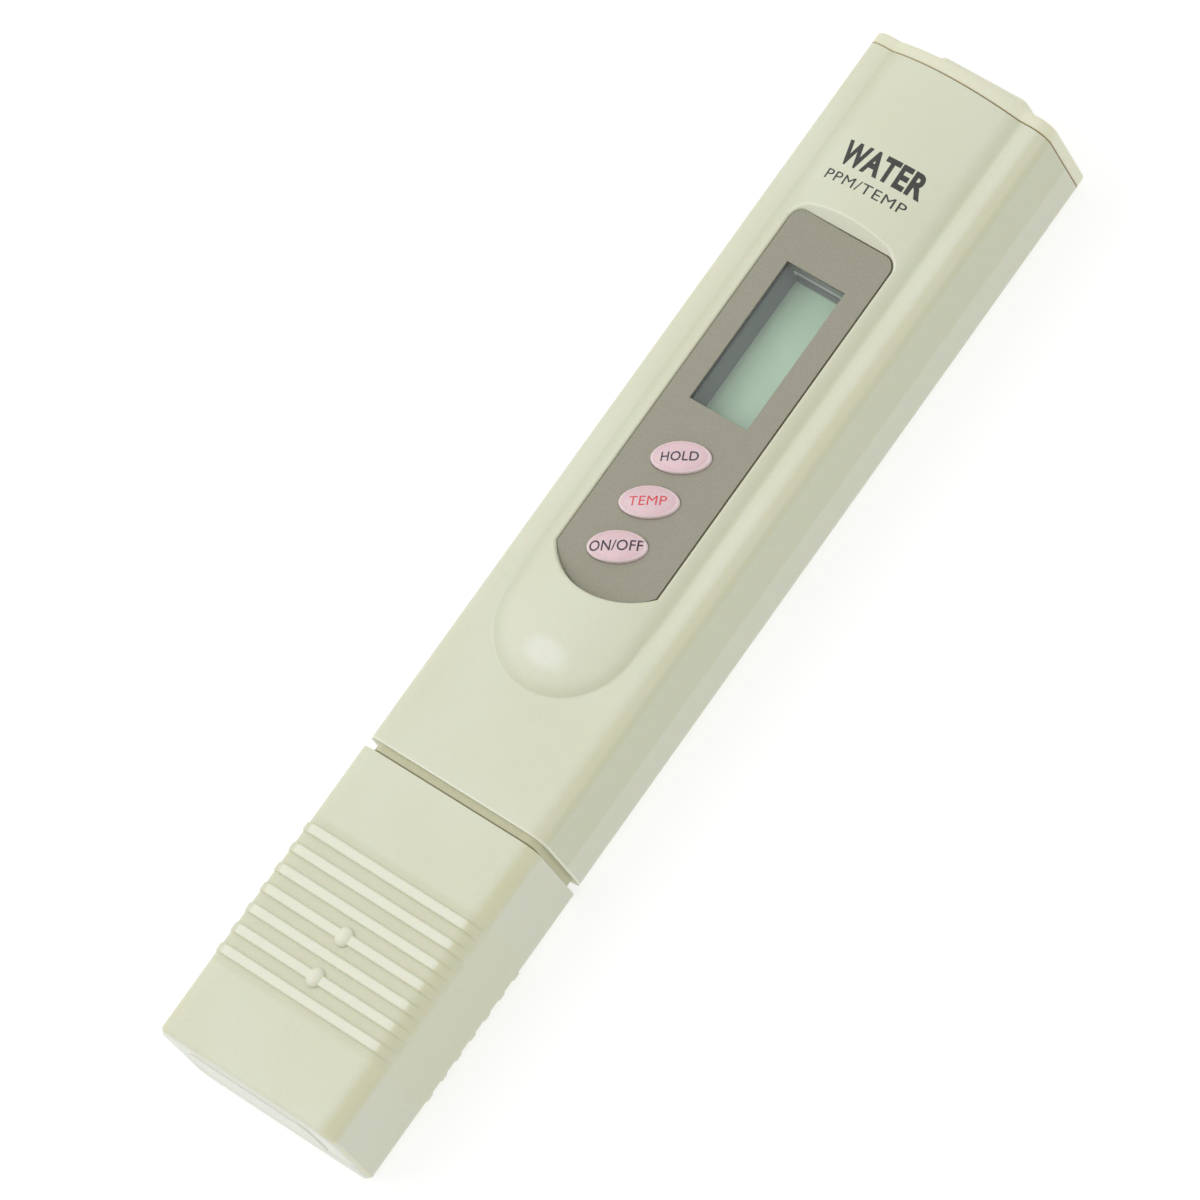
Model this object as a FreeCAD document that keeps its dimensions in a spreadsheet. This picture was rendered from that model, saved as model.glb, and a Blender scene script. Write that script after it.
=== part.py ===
import FreeCAD, Part
import math
import os
import re
import Sketcher

# A pen-shaped water tester lying on its back. +Z comes out of the display, +Y runs towards the
# battery end and +X is to the right of the display. The origin is under the middle of the pen,
# on the surface it lies on. Every y size below is counted from the edge of the case at the probe
# cap (seam_y), and every z size named ..._z is a height above the surface.

SIZES = [
    # outline of the case
    ("seam_y", -33.1, "edge of the case where the probe cap begins"),
    ("body_length", 106.65, "seam to the battery cap"),
    ("body_half", 14.15, "half the width of the case"),
    ("back_z", 0.6, "back face of the case"),
    ("front_z", 17.2, "flat front face of the case"),
    ("parting_z", 7.7, "joint of the front and rear shells"),
    ("front_corner", 2.5, "radius of the two front corners"),
    ("back_corner", 2.5, "radius of the two back corners"),
    ("case_wall", 1.6, "wall of both shells"),
    ("over_cut", 1.0, "how far a cutting shape runs past what it cuts"),
    ("weld_depth", 0.5, "how far a joined shape sinks into the one it stands on"),
    # raised crown
    ("crown_half", 10.0, "half the width of the crown"),
    ("crown_rise", 2.4, "height of the crown over the front face"),
    ("nose_centre", 24.7, "centre of the round nose, from the seam"),
    ("crown_foot", 0.8, "fillet where the crown meets the face"),
    ("crown_relief", 16.0, "length hollowed out under the crown at the battery end"),
    # recess and overlay
    ("panel_half", 7.9, "half the width of the overlay"),
    ("panel_top", 83.55, "battery-side edge of the overlay"),
    ("panel_shoulder", 32.5, "where the overlay's round end begins"),
    ("panel_bottom", 28.7, "tip of the overlay's round end"),
    ("panel_corner", 1.8, "radius of the overlay's two square-end corners"),
    ("panel_rise", 0.6, "overlay surface over the front face"),
    ("overlay_thick", 0.3, "thickness of the overlay"),
    ("recess_gap", 0.18, "gap around the overlay"),
    ("recess_slope", 36.0, "slope of the recess wall, from upright"),
    ("crescent_inset", 0.3, "foot of the sloped wall inside the recess's sides"),
    ("rim_round", 0.35, "rounding of the recess rim"),
    # display
    ("window_half", 4.585, "half the width of the window"),
    ("window_length", 20.91, "length of the window"),
    ("window_centre", 66.5, "middle of the window, from the seam"),
    ("display_depth", 5.0, "display surface below the overlay surface"),
    ("lens_margin", 1.2, "display lens past the window"),
    ("lens_thick", 0.75, "thickness of the display lens"),
    ("lens_gap", 0.15, "gap around the lens in its seat"),
    ("riser_margin", 0.6, "display frame's riser past the window"),
    ("riser_gap", 0.25, "gap around the riser in the case"),
    ("glass_half", 6.5, "half the width of the display glass"),
    ("glass_length", 25.0, "length of the display glass"),
    ("glass_thick", 0.7, "thickness of each of the two display glasses"),
    ("film_thick", 0.15, "thickness of the polariser film"),
    ("reflector_thick", 0.2, "thickness of the reflector"),
    ("frame_wall", 0.8, "display frame past the glass"),
    ("zebra_width", 1.2, "width of a zebra strip"),
    ("zebra_inset", 0.75, "middle of a zebra strip from the glass's edge"),
    # keys
    ("key_major", 4.0, "long half-axis of a key"),
    ("key_minor", 2.12, "short half-axis of a key"),
    ("key_angle", 26.5, "turn of the keys about Z"),
    ("key_across", -0.5, "keys, from the middle of the case"),
    ("key_first", 35.475, "power key, from the seam"),
    ("key_pitch", 6.754, "distance between the keys"),
    ("key_rise", 0.85, "top of a key over the overlay"),
    ("key_dome", 16.0, "radius of the domed key top"),
    ("key_round", 0.35, "rounding of a key's rim"),
    ("key_gap", 0.06, "gap around a key in its hole"),
    ("key_flange", 0.4, "flange of a key past its outline"),
    ("flange_thick", 0.7, "thickness of a key's flange"),
    ("flange_drop", 0.35, "top of the flange below the inside of the case"),
    ("stem_radius", 1.5, "radius of the stem under a key"),
    # probe cap and neck
    ("cap_gap", 1.29, "visible neck between the cap and the case"),
    ("cap_length", 42.86, "rim to closed end"),
    ("cap_proud", 0.125, "how far the cap stands out past the case"),
    ("cap_wall", 1.2, "wall of the probe cap"),
    ("cap_floor", 1.4, "closed end of the probe cap"),
    ("cap_edge", 0.6, "bevel around the closed end"),
    ("cap_pad_half", 9.8, "half the width of the pad on the closed end"),
    ("cap_pad_low_z", 6.3, "back edge of the pad on the closed end"),
    ("cap_pad_high_z", 15.0, "front edge of the pad on the closed end"),
    ("cap_pad_corner", 1.6, "corner radius of the pad on the closed end"),
    ("cap_pad_rise", 0.25, "height of the pad on the closed end"),
    ("cap_pad_round", 0.15, "rounding of that pad's outer edge"),
    ("fit_gap", 0.05, "sliding clearance of the cap on the neck"),
    ("neck_length", 14.0, "neck of the shells, from the seam"),
    ("neck_wall", 1.2, "wall of the neck"),
    ("throat_corner", 0.9, "corner radius inside the neck"),
    ("rib_first", 13.5, "first rib, from the seam"),
    ("rib_pitch", 3.01, "distance between the ribs"),
    ("rib_count", 7, "number of ribs"),
    ("rib_width", 1.35, "width of a rib"),
    ("rib_rise", 0.475, "height of a rib"),
    ("rib_round", 0.3, "rounding of a rib's edges"),
    ("rib_root", 0.6, "how deep a rib is rooted in the cap"),
    ("nub_half", 1.15, "half the width of a nub on a rib"),
    ("nub_reach", 1.35, "half the length of a nub along the pen"),
    ("nub_rise", 0.95, "height of a nub over the cap"),
    # battery cap and cells
    ("door_thick", 1.75, "plate of the battery cap"),
    ("door_round", 0.5, "rounding of the battery cap's outer edge"),
    ("door_gap", 0.06, "gap between the battery cap and the case"),
    ("grip_half", 6.9, "half the width of the grip pad"),
    ("grip_low_z", 5.0, "back edge of the grip pad"),
    ("grip_high_z", 12.6, "front edge of the grip pad"),
    ("grip_corner", 1.2, "corner radius of the grip pad"),
    ("grip_rise", 2.2, "height of the grip pad"),
    ("tray_half", 12.2, "half the width of the cell drawer"),
    ("tray_length", 15.6, "length of the cell drawer"),
    ("tray_low_z", 3.6, "underside of the cell drawer"),
    ("tray_high_z", 9.4, "rim of the cell drawer"),
    ("cell_radius", 5.8, "radius of a button cell"),
    ("cell_height", 5.4, "height of a button cell"),
    ("cell_inset", 8.2, "middle of the cells from the end of the case"),
    ("cell_offset", 6.05, "cell centre from the middle of the pen"),
    ("cell_low_z", 5.4, "underside of the cells"),
    ("lid_height", 0.7, "height of a cell's lid"),
    ("lid_inset", 1.1, "edge of a cell's lid inside the can's edge"),
    ("gasket_inset", 0.5, "edge of a cell's gasket inside the can's edge"),
    ("gasket_thick", 0.3, "thickness of a cell's gasket"),
    ("bridge_thick", 0.2, "thickness of the bridge under the cells"),
    ("bridge_half", 1.6, "half the width of the bridge"),
    # circuit board
    ("board_half", 11.8, "half the width of the board"),
    ("board_start", 20.0, "probe end of the board, from the seam"),
    ("board_end", 88.3, "battery end of the board, from the seam"),
    ("board_z", 9.0, "underside of the board"),
    ("board_thick", 1.2, "thickness of the board"),
    ("screw_x", 8.6, "board screws, from the middle"),
    ("screw_low", 24.0, "board screws at the probe end, from the seam"),
    ("screw_high", 82.2, "board screws at the battery end, from the seam"),
    ("screw_hole", 1.2, "radius of the board's screw holes"),
    ("screw_shank", 0.95, "radius of a screw's shank"),
    ("screw_length", 4.0, "screw below the board"),
    ("screw_head", 2.0, "radius of a screw's head"),
    ("screw_rise", 1.3, "height of a screw's head"),
    ("cross_half", 1.2, "half the length of a cross slot"),
    ("cross_width", 0.2, "half the width of a cross slot"),
    ("post_radius", 2.2, "radius of a board post"),
    ("pilot_radius", 1.0, "radius of the screw hole in a post"),
    ("pilot_depth", 5.0, "depth of the screw hole in a post"),
    ("leaf_thick", 0.3, "thickness of the contact springs"),
    ("leaf_half", 2.0, "half the width of the contact springs"),
    ("leaf_inset", 1.5, "foot of a contact spring from the board's battery end"),
    ("switch_half", 3.0, "half the width of a tact switch"),
    ("switch_height", 3.0, "height of a tact switch"),
    ("well_radius", 2.1, "radius of the well in a tact switch"),
    ("well_depth", 1.4, "depth of the well in a tact switch"),
    ("cover_thick", 0.25, "thickness of a switch's metal cover"),
    ("cover_inset", 0.2, "edge of a switch's cover inside its block"),
    ("plunger_radius", 1.7, "radius of a switch plunger"),
    ("plunger_half", 0.6, "half the height of a switch plunger"),
    ("snap_radius", 1.9, "radius of a switch's snap dome"),
    ("snap_rise", 0.5, "height of a switch's snap dome"),
    ("blob_radius", 8.0, "curve of the sealed controller"),
    ("blob_rise", 1.6, "height of the sealed controller"),
    ("blob_x", -3.0, "sealed controller, from the middle"),
    ("blob_at", 42.0, "sealed controller, from the seam"),
    ("can_radius", 1.5, "radius of the crystal's can"),
    ("can_length", 8.0, "length of the crystal's can"),
    ("can_x", -9.0, "crystal's can, from the middle"),
    ("can_at", 52.0, "start of the crystal's can, from the seam"),
    ("trimmer_x", 5.0, "calibration trimmer, from the middle"),
    ("trimmer_at", 60.0, "calibration trimmer, from the seam"),
    ("trimmer_half", 3.3, "half the width of the trimmer's block"),
    ("trimmer_drop", 2.4, "height of the trimmer's block"),
    ("rotor_radius", 1.75, "radius of the trimmer's rotor"),
    ("rotor_low", 3.0, "slotted face of the rotor, below the board"),
    ("rotor_height", 2.0, "height of the trimmer's rotor"),
    ("slot_depth", 0.7, "depth of the rotor's cross slot"),
    ("slot_width", 0.25, "half the width of the rotor's cross slot"),
    ("access_radius", 1.8, "hole in the back for the trimmer"),
    ("chip_length", 1.6, "length of a chip capacitor"),
    ("chip_height", 0.8, "width and height of a chip capacitor"),
    ("resistor_row", 72.0, "row of chip resistors, from the seam"),
    ("resistor_pitch", 1.8, "distance between the chip resistors"),
    ("resistor_width", 1.2, "width of a chip resistor"),
    ("resistor_length", 2.0, "length of a chip resistor"),
    ("resistor_height", 0.55, "height of a chip resistor"),
    ("resistor_x", -9.0, "first chip resistor, from the middle"),
    # probe
    ("collar_length", 2.5, "collar of the probe holder past the neck"),
    ("plug_length", 8.0, "probe holder inside the neck"),
    ("plug_gap", 0.02, "gap around the probe holder in the neck"),
    ("plug_wall", 1.4, "wall of the probe holder"),
    ("plug_floor", 1.5, "floor of the probe holder"),
    ("well_corner", 0.6, "corner radius inside the probe holder"),
    ("potting_length", 4.5, "depth of the potting in the probe holder"),
    ("pin_radius", 1.0, "radius of an electrode pin"),
    ("pin_offset", 3.6, "electrode pin from the middle"),
    ("pin_tip", 32.0, "tip of the pins, from the seam"),
    ("pin_heel", 6.5, "inner end of the pins, from the seam"),
    ("point_length", 1.0, "tapered point of a pin"),
    ("tube_radius", 1.2, "radius of the thermistor's tube"),
    ("tube_tip", 26.0, "start of the tube's round end, from the seam"),
    ("lead_radius", 0.4, "radius of a probe lead"),
    ("lead_offset", 0.6, "thermistor's leads, from the middle"),
    ("guard_tip", 37.4, "tip of the probe guards, from the seam"),
    ("guard_inset", 1.4, "middle of a guard's thickness inside the neck's side"),
    ("guard_half", 0.9, "half the thickness of a guard"),
    ("guard_round", 0.7, "rounding of the guards' tips"),
    ("boss_margin", 2.2, "boss around the pins, past their centres"),
    ("boss_length", 2.6, "length of the boss around the pins"),
    ("boss_half", 3.0, "half the height of the boss around the pins"),
    ("probe_z", 8.9, "height of the probe's centre line"),
]

doc = FreeCAD.newDocument("WaterTester")
sheet = doc.addObject("Spreadsheet::Sheet", "Sizes")
for row, (alias, size, meaning) in enumerate(SIZES, start=1):
    sheet.set(f"A{row}", alias)
    sheet.set(f"B{row}", str(size))
    sheet.set(f"C{row}", meaning)
    sheet.setAlias(f"B{row}", alias)
doc.recompute()

Vector = FreeCAD.Vector
parts = {}


# ---------------------------------------------------------------- helpers
def in_sheet(formula):
    """Turn the size names of a formula into references to the sheet."""
    return re.sub(r"\b[a-z]+(?:_[a-z]+)+\b", r"Sizes.\g<0>", str(formula))


def bind(item, prop, formula):
    item.setExpression(prop, in_sheet(formula))


def finish_part(item, name):
    item.Label = name
    parts[name] = item
    return item


def box(x, y, z, kind="Part::Box", owner=None):
    """A block between a low and a high formula along each axis."""
    item = owner.newObject(kind, "Block") if owner else doc.addObject(kind, "Block")
    for prop, axis, (low, high) in (("Length", "x", x), ("Width", "y", y), ("Height", "z", z)):
        bind(item, f"Placement.Base.{axis}", low)
        bind(item, prop, f"({high}) - ({low})")
    return item


TURNS = {
    "z": FreeCAD.Rotation(),
    "-z": FreeCAD.Rotation(Vector(1, 0, 0), 180),
    "y": FreeCAD.Rotation(Vector(1, 0, 0), -90),
    "-y": FreeCAD.Rotation(Vector(1, 0, 0), 90),
    "x": FreeCAD.Rotation(Vector(0, 1, 0), 90),
}


def cylinder(radius, start, length, axis="z", kind="Part::Cylinder", owner=None):
    """A round bar from a start point along an axis."""
    item = owner.newObject(kind, "Bar") if owner else doc.addObject(kind, "Bar")
    item.Placement = FreeCAD.Placement(Vector(), TURNS[axis])
    bind(item, "Radius", radius)
    bind(item, "Height", length)
    for name, formula in zip("xyz", start):
        bind(item, f"Placement.Base.{name}", formula)
    return item


def cone(radius_one, radius_two, start, length, axis="z"):
    item = doc.addObject("Part::Cone", "Taper")
    item.Placement = FreeCAD.Placement(Vector(), TURNS[axis])
    bind(item, "Radius1", radius_one)
    bind(item, "Radius2", radius_two)
    bind(item, "Height", length)
    for name, formula in zip("xyz", start):
        bind(item, f"Placement.Base.{name}", formula)
    return item


def fuse(items):
    item = doc.addObject("Part::MultiFuse", "Joined")
    item.Shapes = items
    return item


def common(items):
    item = doc.addObject("Part::MultiCommon", "Shared")
    item.Shapes = items
    return item


def cut(base, tools):
    item = doc.addObject("Part::Cut", "Trimmed")
    item.Base = base
    item.Tool = tools[0] if len(tools) == 1 else fuse(tools)
    return item


def group(items):
    """Separate solids kept together as one part."""
    item = doc.addObject("Part::Compound", "Set")
    item.Links = items
    return item


def key_outline(margin, at, low, high):
    """An upright prism with a key's oval outline, turned like the keys."""
    oval = doc.addObject("Part::Ellipse", "Oval")
    oval.Placement = FreeCAD.Placement(Vector(), FreeCAD.Rotation(Vector(0, 0, 1), 1))
    bind(oval, "MajorRadius", f"key_major + {margin}")
    bind(oval, "MinorRadius", f"key_minor + {margin}")
    bind(oval, "Placement.Base.x", "key_across")
    bind(oval, "Placement.Base.y", at)
    bind(oval, "Placement.Base.z", low)
    bind(oval, "Placement.Rotation.Angle", "key_angle")
    prism = doc.addObject("Part::Extrusion", "OvalPrism")
    prism.Base = oval
    prism.DirMode = "Custom"
    prism.Dir = Vector(0, 0, 1)
    prism.Solid = True
    bind(prism, "LengthFwd", f"({high}) - ({low})")
    return prism


def origin_plane(body, role):
    return next(item for item in body.Origin.OriginFeatures if item.Role == role)


def new_sketch(body, role, offset):
    sketch = body.newObject("Sketcher::SketchObject", "Outline")
    sketch.AttachmentSupport = [(origin_plane(body, role), "")]
    sketch.MapMode = "FlatFace"
    bind(sketch, "AttachmentOffset.Base.z", offset)
    return sketch


def dimension(sketch, formula, kind, *place):
    index = sketch.addConstraint(Sketcher.Constraint(kind, *place))
    bind(sketch, f"Constraints[{index}]", formula)


def line(x1, y1, x2, y2):
    return Part.LineSegment(Vector(x1, y1, 0), Vector(x2, y2, 0))


def arc(x, y, radius, start, end):
    circle = Part.Circle(Vector(x, y, 0), Vector(0, 0, 1), radius)
    return Part.ArcOfCircle(circle, math.radians(start), math.radians(end))


def case_outline(body, at, half, low, high, back_radius, front_radius):
    """A rectangle across the pen with its own radius at the back and front corners."""
    sketch = new_sketch(body, "XZ_Plane", f"-({at})")
    side, base, top, corner = 12, 1, 16, 2
    sketch.addGeometry([
        line(corner - side, base, side - corner, base),
        arc(side - corner, base + corner, corner, 270, 360),
        line(side, base + corner, side, top - corner),
        arc(side - corner, top - corner, corner, 0, 90),
        line(side - corner, top, corner - side, top),
        arc(corner - side, top - corner, corner, 90, 180),
        line(-side, top - corner, -side, base + corner),
        arc(corner - side, base + corner, corner, 180, 270),
    ], False)
    for index in range(8):
        sketch.addConstraint(Sketcher.Constraint("Tangent", index, 2, (index + 1) % 8, 1))
    for kind, index in (("Horizontal", 0), ("Vertical", 2), ("Horizontal", 4), ("Vertical", 6)):
        sketch.addConstraint(Sketcher.Constraint(kind, index))
    sketch.addConstraint(Sketcher.Constraint("Equal", 1, 7))
    sketch.addConstraint(Sketcher.Constraint("Equal", 3, 5))
    dimension(sketch, back_radius, "Radius", 1, corner)
    dimension(sketch, front_radius, "Radius", 3, corner)
    dimension(sketch, half, "DistanceX", -1, 1, 2, 1, side)
    dimension(sketch, f"-({half})", "DistanceX", -1, 1, 6, 1, -side)
    dimension(sketch, low, "DistanceY", -1, 1, 0, 1, base)
    dimension(sketch, high, "DistanceY", -1, 1, 4, 1, top)
    return sketch


def panel_outline(body, margin, height, round_end=True):
    """The overlay's outline, round at the probe end. Without the round end it is a narrower
    block that reaches from the middle of the window to the overlay's square end."""
    half = f"(panel_half + {margin})" if round_end else f"(panel_half + {margin} - crescent_inset)"
    foot = "seam_y + panel_shoulder" if round_end else "seam_y + window_centre"
    sketch = new_sketch(body, "XY_Plane", height)
    side, low, high, corner = 8, 0, 50, 2
    bottom = (Part.ArcOfCircle(Part.Circle(Vector(0, 6, 0), Vector(0, 0, 1), 10),
                               math.radians(217), math.radians(323))
              if round_end else line(-side, low, side, low))
    sketch.addGeometry([
        line(-side, high - corner, -side, low),
        bottom,
        line(side, low, side, high - corner),
        arc(side - corner, high - corner, corner, 0, 90),
        line(side - corner, high, corner - side, high),
        arc(corner - side, high - corner, corner, 90, 180),
    ], False)
    sketch.addConstraint(Sketcher.Constraint("Coincident", 0, 2, 1, 1))
    sketch.addConstraint(Sketcher.Constraint("Coincident", 1, 2, 2, 1))
    for one, two in ((2, 3), (3, 4), (4, 5), (5, 0)):
        sketch.addConstraint(Sketcher.Constraint("Tangent", one, 2, two, 1))
    sketch.addConstraint(Sketcher.Constraint("Vertical", 0))
    sketch.addConstraint(Sketcher.Constraint("Vertical", 2))
    sketch.addConstraint(Sketcher.Constraint("Horizontal", 4))
    sketch.addConstraint(Sketcher.Constraint("Equal", 3, 5))
    dimension(sketch, "panel_corner", "Radius", 3, corner)
    dimension(sketch, half, "DistanceX", -1, 1, 2, 1, side)
    dimension(sketch, f"-{half}", "DistanceX", -1, 1, 0, 2, -side)
    dimension(sketch, f"seam_y + panel_top + {margin}", "DistanceY", -1, 1, 4, 1, high)
    dimension(sketch, foot, "DistanceY", -1, 1, 0, 2, low)
    if round_end:
        reach = f"(panel_shoulder - panel_bottom + {margin})"
        sketch.addConstraint(Sketcher.Constraint("PointOnObject", 1, 3, -2))
        dimension(sketch, f"({half} * {half} + {reach} * {reach}) / (2 * {reach})", "Radius", 1, 10)
    else:
        sketch.addConstraint(Sketcher.Constraint("Horizontal", 1))
    return sketch


def normal_points_back(sketch):
    """Sketches across the pen face -Y, and the others face +Z or +X."""
    return sketch.AttachmentSupport[0][0].Role == "XZ_Plane"


def pad(body, sketch, length, ahead=True):
    feature = body.newObject("PartDesign::Pad", "Pad")
    feature.Profile = sketch
    feature.Reversed = normal_points_back(sketch) == ahead
    bind(feature, "Length", length)
    doc.recompute()
    return feature


def pocket(body, sketch, length, ahead=True, taper=None):
    before = body.Shape.Volume
    feature = body.newObject("PartDesign::Pocket", "Pocket")
    feature.Profile = sketch
    feature.Reversed = normal_points_back(sketch) != ahead
    bind(feature, "Length", length)
    if taper:
        bind(feature, "TaperAngle", taper)
    doc.recompute()
    if body.Shape.Volume > before - 0.01:
        raise RuntimeError(f"a pocket in {body.Name} removes nothing")
    return feature


def fillet(body, radius, wanted, kind="PartDesign::Fillet", prop="Radius"):
    """Round the edges of the body that the wanted test picks by their middle point."""
    doc.recompute()
    base = body.Tip
    names = []
    for index, edge in enumerate(base.Shape.Edges, start=1):
        middle = edge.valueAt((edge.FirstParameter + edge.LastParameter) / 2)
        if wanted(edge, middle):
            names.append(f"Edge{index}")
    if not names:
        raise RuntimeError(f"no edges to round in {body.Name}")
    feature = body.newObject(kind, "Rounding")
    feature.Base = (base, names)
    bind(feature, prop, radius)
    doc.recompute()
    return feature


def size(alias):
    return float(sheet.get(alias))


def new_body():
    return doc.addObject("PartDesign::Body", "Body")


body_end = "(seam_y + body_length)"
overlay_z = "(front_z + panel_rise)"
recess_z = "(front_z + panel_rise - overlay_thick)"
display_z = "(front_z + panel_rise - display_depth)"
board_top = "(board_z + board_thick)"
switch_top = "(board_z + board_thick + switch_height)"
window_y = "(seam_y + window_centre)"
shell_floor = "(front_z - case_wall)"
crown_radius = "((crown_half * crown_half + crown_rise * crown_rise) / (2 * crown_rise))"
cap_half = "(body_half + cap_proud)"
cap_low_z = "(back_z - cap_proud)"
cap_high_z = "(front_z + cap_proud)"
cap_end = "(seam_y - cap_gap - cap_length)"
neck_half = "(body_half + cap_proud - cap_wall - fit_gap)"
neck_low_z = "(back_z - cap_proud + cap_wall + fit_gap)"
neck_high_z = "(front_z + cap_proud - cap_wall - fit_gap)"
neck_back_corner = "(back_corner + cap_proud - cap_wall)"
neck_front_corner = "(front_corner + cap_proud - cap_wall)"
cell_y = f"({body_end} - cell_inset)"
KEYS = (("power", 0), ("temp", 1), ("hold", 2))
SCREW_PLACES = [(x, y) for x in ("-screw_x", "screw_x")
                for y in ("seam_y + screw_low", "seam_y + screw_high")]


def key_y(step):
    return f"(seam_y + key_first + {step} * key_pitch)"


def window_block(margin, low, high, kind="Part::Box", owner=None):
    """An upright block over the window and a margin around it."""
    return box((f"-window_half - {margin}", f"window_half + {margin}"),
               (f"{window_y} - window_length / 2 - {margin}",
                f"{window_y} + window_length / 2 + {margin}"), (low, high), kind, owner)


def glass_block(margin, low, high):
    """An upright block over the display glass and a margin around it."""
    return box((f"-glass_half - {margin}", f"glass_half + {margin}"),
               (f"{window_y} - glass_length / 2 - {margin}",
                f"{window_y} + glass_length / 2 + {margin}"), (low, high))


# ---------------------------------------------------------------- case shells
def case_shell(drop_low, drop_high):
    """The case as a tube with its neck, less everything between two heights."""
    body = new_body()
    outer = case_outline(body, "seam_y", "body_half", "back_z", "front_z",
                         "back_corner", "front_corner")
    pad(body, outer, "body_length")
    neck = case_outline(body, "seam_y + case_wall", neck_half, neck_low_z, neck_high_z,
                        neck_back_corner, neck_front_corner)
    pad(body, neck, "neck_length + case_wall", False)
    hollow = case_outline(body, "seam_y + case_wall", "body_half - case_wall", "back_z + case_wall",
                          shell_floor, "back_corner - case_wall", "front_corner - case_wall")
    pocket(body, hollow, "body_length")
    throat = case_outline(body, "seam_y + case_wall + over_cut", f"{neck_half} - neck_wall",
                          f"{neck_low_z} + neck_wall", f"{neck_high_z} - neck_wall",
                          "throat_corner", "throat_corner")
    pocket(body, throat, "neck_length + case_wall + 2 * over_cut", False)
    box(("-2 * body_half", "2 * body_half"),
        ("seam_y - 2 * neck_length", f"{body_end} + over_cut"),
        (drop_low, drop_high), "PartDesign::SubtractiveBox", body)
    return body


def crown_segment(body, at_y, sink):
    """The crown's cross-section: a shallow arc over a chord sunk below the front face."""
    sketch = new_sketch(body, "XZ_Plane", f"-({at_y})")
    sketch.addGeometry([line(-10, 17, 10, 17), arc(0, -5, 24, 66, 114)], False)
    sketch.addConstraint(Sketcher.Constraint("Coincident", 0, 2, 1, 1))
    sketch.addConstraint(Sketcher.Constraint("Coincident", 1, 2, 0, 1))
    sketch.addConstraint(Sketcher.Constraint("PointOnObject", 1, 3, -2))
    sketch.addConstraint(Sketcher.Constraint("Horizontal", 0))
    dimension(sketch, f"front_z - {sink}", "DistanceY", -1, 1, 0, 1, 17)
    dimension(sketch, crown_radius, "Radius", 1, 24)
    dimension(sketch, f"{crown_radius} - crown_rise - front_z", "DistanceY", 1, 3, -1, 1, 5)
    return sketch


def crown_nose(body):
    """Half a dome with the crown's own curve, turned about the upright line at its centre."""
    sketch = new_sketch(body, "YZ_Plane", "0")
    centre, low, rise, radius = -8, 17, 2.4, 22
    sketch.addGeometry([
        line(centre, low + rise, centre, low),
        line(centre, low, centre - 10, low),
        arc(centre, low + rise - radius, radius, 90, 117),
    ], False)
    sketch.addConstraint(Sketcher.Constraint("Coincident", 0, 2, 1, 1))
    sketch.addConstraint(Sketcher.Constraint("Coincident", 1, 2, 2, 2))
    sketch.addConstraint(Sketcher.Constraint("Coincident", 2, 1, 0, 1))
    sketch.addConstraint(Sketcher.Constraint("Vertical", 0))
    sketch.addConstraint(Sketcher.Constraint("Horizontal", 1))
    sketch.addConstraint(Sketcher.Constraint("Vertical", 2, 3, 0, 1))
    dimension(sketch, "seam_y + nose_centre", "DistanceX", -1, 1, 0, 1, centre)
    dimension(sketch, "front_z", "DistanceY", -1, 1, 0, 2, low)
    dimension(sketch, "crown_rise", "DistanceY", 0, 2, 0, 1, rise)
    dimension(sketch, "-crown_half", "DistanceX", 1, 1, 1, 2, -10)
    doc.recompute()
    feature = body.newObject("PartDesign::Revolution", "Nose")
    feature.Profile = sketch
    feature.ReferenceAxis = (sketch, ["Edge1"])
    feature.Angle = 180
    feature.Midplane = True
    doc.recompute()
    return feature


def on_crown(point):
    """Whether a point lies on the crown's arched face, past its round nose."""
    half, rise = size("crown_half"), size("crown_rise")
    radius = (half ** 2 + rise ** 2) / (2 * rise)
    height = size("front_z") + rise - radius + math.sqrt(radius ** 2 - point.x ** 2)
    return abs(point.z - height) < 0.01 and point.y > size("seam_y") + size("nose_centre") + 1


def at_crown_foot(edge, middle):
    """The long edges along the crown's two sides and around its nose."""
    start = size("seam_y") + size("nose_centre")
    side = abs(abs(middle.x) - size("crown_half")) < 0.05 and middle.y > start
    nose = math.hypot(middle.x, middle.y - start) < size("crown_half") + 0.05
    return abs(middle.z - size("front_z")) < 0.01 and (side or (nose and middle.y < start))


def at_recess_rim(edge, middle):
    """The edges where the recess of the overlay breaks through the crown."""
    end = size("seam_y") + size("body_length")
    return on_crown(middle) and abs(middle.x) < size("panel_half") + 1 and middle.y < end - 1


def make_front_case():
    body = case_shell("0", "parting_z")
    pad(body, crown_segment(body, "seam_y + nose_centre", "0"), "body_length - nose_centre")
    crown_nose(body)
    fillet(body, "crown_foot", lambda edge, middle: edge.Length > 15 and at_crown_foot(edge, middle))
    pocket(body, panel_outline(body, "recess_gap", recess_z), "crown_rise + over_cut")
    crescent = panel_outline(body, "recess_gap", overlay_z, False)
    pocket(body, crescent, "crown_rise + over_cut", True, "recess_slope")
    fillet(body, "rim_round", at_recess_rim)
    window_block("(lens_margin + lens_gap)", f"{recess_z} - lens_thick - fit_gap",
                 f"{recess_z} + over_cut", "PartDesign::SubtractiveBox", body)
    window_block("(riser_margin + riser_gap)", f"{shell_floor} - over_cut", recess_z,
                 "PartDesign::SubtractiveBox", body)
    box(("case_wall - crown_half", "crown_half - case_wall"),
        (f"{body_end} - crown_relief - over_cut", f"{body_end} + over_cut"),
        (f"{shell_floor} - over_cut", "front_z"), "PartDesign::SubtractiveBox", body)
    doc.recompute()
    holes = [key_outline("key_gap", key_y(step), f"{shell_floor} - over_cut",
                         "front_z + crown_rise + over_cut") for _, step in KEYS]
    finish_part(cut(body, holes), "front_case")


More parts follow.
